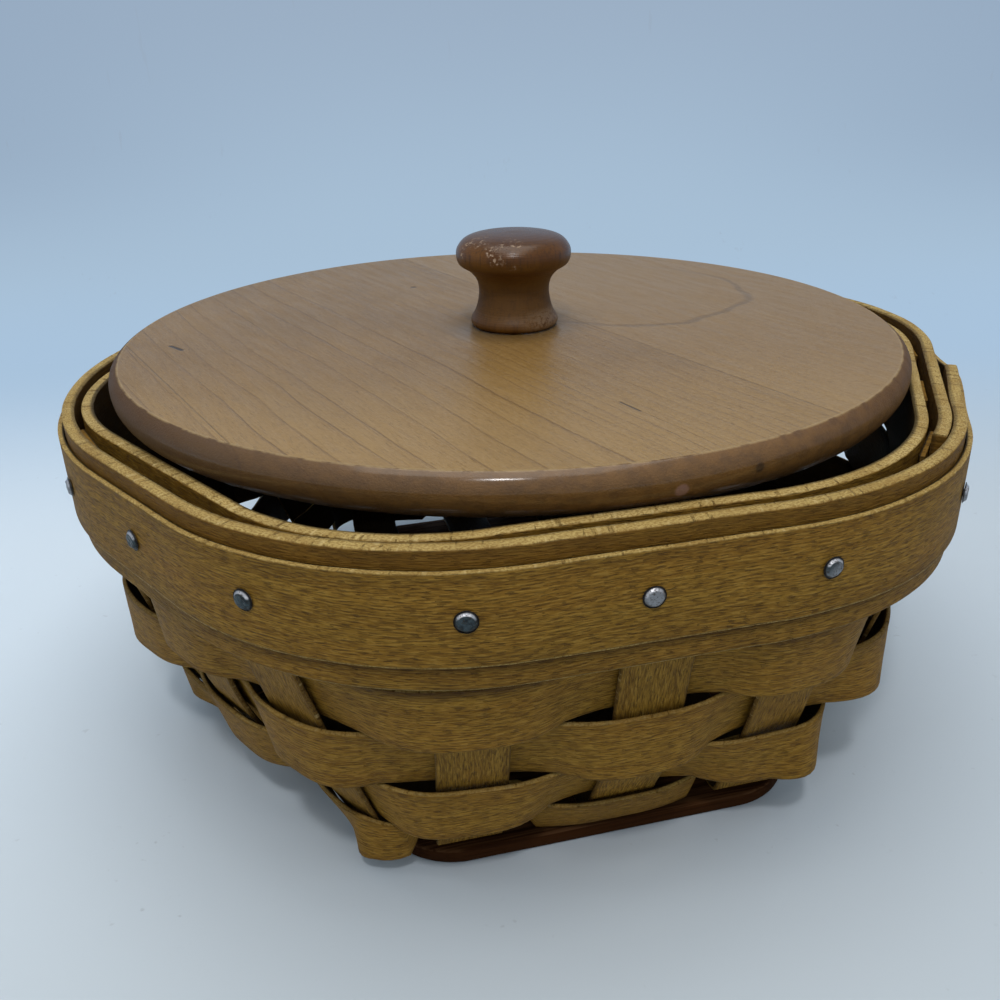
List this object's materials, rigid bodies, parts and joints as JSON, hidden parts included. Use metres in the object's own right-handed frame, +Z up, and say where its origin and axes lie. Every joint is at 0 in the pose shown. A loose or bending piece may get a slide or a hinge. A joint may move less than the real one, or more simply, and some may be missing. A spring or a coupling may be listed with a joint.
{
  "type": "hexagonal splint basket with lid",
  "caption": "Hexagonal woven splint basket with nailed wooden bands, a base board and a round hardwood lid that lifts off by its turned knob.",
  "frame": {"origin": "middle of the base board's underside, on the surface that the basket stands on", "axes": "+Z up, -Y through the front side that the picture shows nearest, +X towards the right-hand corner of the hexagon"},
  "size_m": [0.2392, 0.2322, 0.1293],
  "materials": {
    "splint_wood": "satin stain",
    "weaver_wood": "satin stain",
    "band_wood": "satin stain",
    "board_wood": "dark satin stain",
    "lid_wood": "semi-gloss lacquer",
    "knob_wood": "worn gloss lacquer",
    "tack_steel": "hammered, slightly tarnished"
  },
  "bodies": {
    "basket": {"splint_a1": "splint_wood", "splint_a2": "splint_wood", "splint_a3": "splint_wood", "splint_b1": "splint_wood", "splint_b2": "splint_wood", "splint_b3": "splint_wood", "splint_c1": "splint_wood", "splint_c2": "splint_wood", "splint_c3": "splint_wood", "weaver_1": "weaver_wood", "weaver_2": "weaver_wood", "weaver_3": "weaver_wood", "weaver_4": "weaver_wood", "inner_band": "band_wood", "outer_band": "band_wood", "trim_strip": "band_wood", "tack_01": "tack_steel", "tack_02": "tack_steel", "tack_03": "tack_steel", "tack_04": "tack_steel", "tack_05": "tack_steel", "tack_06": "tack_steel", "tack_07": "tack_steel", "tack_08": "tack_steel", "tack_09": "tack_steel", "tack_10": "tack_steel", "tack_11": "tack_steel", "tack_12": "tack_steel", "tack_13": "tack_steel", "tack_14": "tack_steel", "tack_15": "tack_steel", "tack_16": "tack_steel", "tack_17": "tack_steel", "tack_18": "tack_steel", "base_board": "board_wood", "base_tack_1": "tack_steel", "base_tack_2": "tack_steel", "base_tack_3": "tack_steel", "base_tack_4": "tack_steel", "base_tack_5": "tack_steel", "base_tack_6": "tack_steel"},
    "lid": {"lid": "lid_wood", "knob": "knob_wood", "knob_screw": "tack_steel"}
  },
  "joints": [
    {"name": "lid_lift", "type": "slide", "parent": "basket", "child": "lid", "axis": [0, 0, 1], "range_m": [0, 0.12]}
  ]
}
